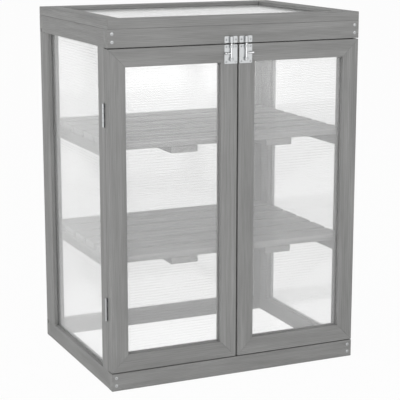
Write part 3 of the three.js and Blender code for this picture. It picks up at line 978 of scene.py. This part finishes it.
def pressed_up_plate(name, width, height, straps):
    """A plate with straps, each given by the place of its middle and how tall it is."""
    piece = rounded_plate(name, width, height)
    inner = ROD_RADIUS + ROD_PLAY
    for middle, tall in straps:
        strap = eased(arch("strap", inner + STRAP_THICKNESS, middle, tall, LAP), PLATE_EDGE)
        combine(piece, strap, "UNION")
    for middle, tall in straps:
        slot = min(tall + 2 * SLOT_MARGIN, height - 2 * PLATE_CORNER)
        cutter = block(
            "slot",
            (-inner, middle - slot / 2, -2 * LAP),
            (inner, middle + slot / 2, PLATE_THICKNESS + LAP),
            0,
        )
        combine(piece, cutter, "DIFFERENCE")
        tunnel = arch("under_strap", inner, middle, tall + 2 * (KEEPER_MARGIN + LAP), -LAP)
        combine(piece, tunnel, "DIFFERENCE")
    return piece


print("strap", round(STRAP_THICKNESS / MM, 1), "mm thick")

# %% [markdown]
# The keeper above each bolt is a shorter plate with one wide strap. Plate and keeper are modelled once,
# copied, and stood up against the door and the top board with their screws. The plate swings with its
# door and the keeper stays on the cabinet.

# %% Bolt plates and keepers
STRAP_TALL = 5 * MM
UPPER_STRAP = 4 * MM  # from the plate's top edge to the middle of the strap
LOWER_STRAP = 10 * MM  # from its lower edge
PLATE_SCREW_HEAD = 2.1 * MM
PLATE_SCREW_DOME = 0.8 * MM
PLATE_SCREW_INSET = 4.2 * MM
PLATE_SCREW_LENGTH = 12 * MM

plate_low, plate_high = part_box("left_bolt_plate")
plate_width = plate_high.x - plate_low.x
plate_height = plate_high.z - plate_low.z
keeper_low, keeper_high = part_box("left_bolt_keeper")
keeper_height = keeper_high.z - keeper_low.z
straps = [(-UPPER_STRAP, STRAP_TALL), (-plate_height + LOWER_STRAP, STRAP_TALL)]
flat_plate = pressed_up_plate("flat_plate", plate_width, plate_height, straps)
wide_strap = [(-keeper_height / 2, keeper_height - 2 * KEEPER_MARGIN)]
flat_keeper = pressed_up_plate("flat_keeper", plate_width, keeper_height, wide_strap)
plate_screw = screw("plate_screw", PLATE_SCREW_HEAD, PLATE_SCREW_DOME, PLATE_SCREW_LENGTH)
screw_column = plate_width / 2 - PLATE_SCREW_INSET
for side in ("left", "right"):
    for kind, pattern, body in (
        ("plate", flat_plate, f"{side}_door"),
        ("keeper", flat_keeper, "cabinet"),
    ):
        node = f"{side}_bolt_{kind}"
        low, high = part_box(node)
        origin = Vector(((low.x + high.x) / 2, high.y, high.z))
        piece = copy_of(pattern, f"{node}_pressed", origin, TOWARDS_FRONT)
        fit(piece, pressed_steel, "zinc_plated_steel", body, node)
        drops = (PLATE_SCREW_INSET, high.z - low.z - PLATE_SCREW_INSET)
        rows = drops if kind == "plate" else [(high.z - low.z) / 2]
        places = [
            origin + Vector((column, -PLATE_THICKNESS, -drop))
            for drop in rows
            for column in (-screw_column, screw_column)
        ]
        print(node, screw_group(f"{node}_screws", plate_screw, places, TOWARDS_FRONT, body), "screws")
discard(flat_plate, flat_keeper, plate_screw)

# %% [markdown]
# The rod is drawn bar with rounded ends, and its handle is a thin turned pin with a knob, which is
# riveted into the rod and leans a little away from the door so that fingers can reach it.

# %% Bolt rods
ROD_END = 0.9 * MM  # rounding at each end
HANDLE_DROP = 17.7 * MM  # below the plate's top edge
HANDLE_RADIUS = 1.6 * MM
HANDLE_LENGTH = 17 * MM
KNOB_RADIUS = 2.7 * MM
KNOB_LENGTH = 5 * MM
HANDLE_TILT = math.radians(12)

for side, outwards in (("left", -1), ("right", 1)):
    node = f"{side}_bolt_rod"
    low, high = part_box(node)
    plate_low, plate_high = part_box(f"{side}_bolt_plate")
    rod_outline = [
        (ROD_RADIUS - ROD_END, low.z),
        (ROD_RADIUS - 0.3 * ROD_END, low.z + 0.3 * ROD_END),
        (ROD_RADIUS, low.z + ROD_END),
        (ROD_RADIUS, high.z - ROD_END),
        (ROD_RADIUS - 0.3 * ROD_END, high.z - 0.3 * ROD_END),
        (ROD_RADIUS - ROD_END, high.z),
    ]
    rod = turned(f"{node}_turned", rod_outline, ROUND_SIDES)
    neck = HANDLE_LENGTH - KNOB_LENGTH
    handle_outline = [
        (HANDLE_RADIUS, 0),
        (HANDLE_RADIUS, neck - 0.2 * KNOB_LENGTH),
        (0.75 * KNOB_RADIUS, neck),
        (0.95 * KNOB_RADIUS, neck + 0.2 * KNOB_LENGTH),
        (KNOB_RADIUS, neck + 0.5 * KNOB_LENGTH),
        (0.95 * KNOB_RADIUS, neck + 0.8 * KNOB_LENGTH),
        (0.7 * KNOB_RADIUS, HANDLE_LENGTH - 0.05 * KNOB_LENGTH),
        (0.35 * KNOB_RADIUS, HANDLE_LENGTH),
    ]
    handle = turned("handle", handle_outline, ROUND_SIDES)
    handle.matrix_world = (
        Matrix.Translation((0, 0, plate_high.z - HANDLE_DROP))
        @ Matrix.Rotation(-outwards * HANDLE_TILT, 4, "Z")
        @ Matrix.Rotation(outwards * math.pi / 2, 4, "Y")
    )
    settle(handle)
    combine(rod, handle, "UNION")
    rod.location = ((plate_low.x + plate_high.x) / 2, plate_high.y - ROD_HEIGHT, 0)
    settle(rod)
    fit(rod, drawn_steel, "zinc_plated_steel", f"{side}_bolt", node)
    print(node, "turned")

# %% [markdown]
# The studio is a white room without corners. The floor is a wide white plane, part diffuse and part
# glowing, so that it looks white to the camera and still shows the soft shadow at the cabinet's foot. It
# glows only for the camera and in metal and clear plastic, so the glow puts no light on the boards.

# %% Floor
FLOOR_SIZE = 60
FLOOR_GLOW = 0.95


def seen_directly(tree):
    """1 for rays from the camera and for those that show the room in metal or clear plastic."""
    path = add_node(tree, "ShaderNodeLightPath", {}).outputs
    shiny = add_node(
        tree,
        "ShaderNodeMath",
        {"operation": "MAXIMUM", 0: path["Is Glossy Ray"], 1: path["Is Transmission Ray"]},
    ).outputs[0]
    return add_node(
        tree, "ShaderNodeMath", {"operation": "MAXIMUM", 0: path["Is Camera Ray"], 1: shiny}
    ).outputs[0]


bpy.ops.mesh.primitive_plane_add(size=FLOOR_SIZE)
floor = bpy.context.object
floor.name = "studio_floor"
floor_material, tree, shader = new_material("white_studio_floor")
shader.inputs["Base Color"].default_value = colour(0xFFFFFF)
shader.inputs["Roughness"].default_value = 1
shader.inputs["Specular IOR Level"].default_value = 0
glow = add_node(tree, "ShaderNodeEmission", {"Color": (1, 1, 1, 1), "Strength": 1}).outputs[0]
share = add_node(
    tree, "ShaderNodeMath", {"operation": "MULTIPLY", 0: seen_directly(tree), 1: FLOOR_GLOW}
).outputs[0]
blend = add_node(tree, "ShaderNodeMixShader", {0: share, 1: shader.outputs[0], 2: glow}).outputs[0]
tree.links.new(blend, tree.nodes["Material Output"].inputs["Surface"])
give(floor, floor_material)
floor.select_set(False)
print("floor", FLOOR_SIZE, "m wide")

# %% [markdown]
# The world is white to the camera, to metal and to clear plastic. For lighting it is brighter at the
# sides than overhead, which is how a tent of white cloth lights a product.

# %% World
SKY_TOP = 0.58
SKY_SIDE = 0.72
SKY_TOP_FROM = 0.9  # how far up, as a share, the top of the sky begins

world = bpy.data.worlds.new("white_room")
world.use_nodes = True
scene.world = world
tree = world.node_tree
place = add_node(tree, "ShaderNodeTexCoord", {}).outputs["Generated"]
upwards = add_node(tree, "ShaderNodeSeparateXYZ", {"Vector": place}).outputs["Z"]
overhead = add_node(
    tree,
    "ShaderNodeMapRange",
    {
        "Value": upwards,
        "From Min": 0,
        "From Max": SKY_TOP_FROM,
        "To Min": SKY_SIDE,
        "To Max": SKY_TOP,
    },
).outputs[0]
lighting = add_node(tree, "ShaderNodeBackground", {"Strength": overhead}).outputs[0]
white = add_node(tree, "ShaderNodeBackground", {"Color": (1, 1, 1, 1), "Strength": 1}).outputs[0]
room = add_node(tree, "ShaderNodeMixShader", {0: seen_directly(tree), 1: lighting, 2: white}).outputs[0]
tree.links.new(room, tree.nodes["World Output"].inputs["Surface"])
print("world", world.name)

# %% [markdown]
# Three large soft boxes stand low round the cabinet. One stands beside its left side and one in front.
# The front one looks into every corner that the camera sees, so the fronts and the left side are equally
# bright and the tops of the roof boards stay darker. A weak one to the right fills the right-hand corner.

# %% Soft boxes
LAMP_SIZE = 5
LAMP_AWAY = 3.6
LAMP_HEIGHT = 0.9
LAMPS = ((-76, 64), (-6, 64), (38, 6))  # degrees from straight in front, towards the right, and watts

for number, (side, power) in enumerate(LAMPS):
    angle = math.radians(side)
    place = Vector((math.sin(angle) * LAMP_AWAY, -math.cos(angle) * LAMP_AWAY, LAMP_HEIGHT))
    bpy.ops.object.light_add(type="AREA", location=place)
    lamp = bpy.context.object
    lamp.name = f"soft_box_{number}"
    lamp.data.shape = "SQUARE"
    lamp.data.size = LAMP_SIZE
    lamp.data.energy = power
    middle = Vector((0, 0, frame_box[1].z / 2))
    lamp.rotation_euler = (middle - place).to_track_quat("-Z", "Y").to_euler()
    lamp.select_set(False)
print("soft boxes", len(LAMPS))

# %% [markdown]
# Every ray to the inside of the cabinet passes dozens of thin plastic walls, which is more than the
# renderer follows by itself, so it is allowed more.

# %% View settings
PLASTIC_WALLS = 96  # that one ray may pass

scene.view_settings.view_transform = "Standard"
scene.cycles.transparent_max_bounces = PLASTIC_WALLS
print("view transform", scene.view_settings.view_transform)
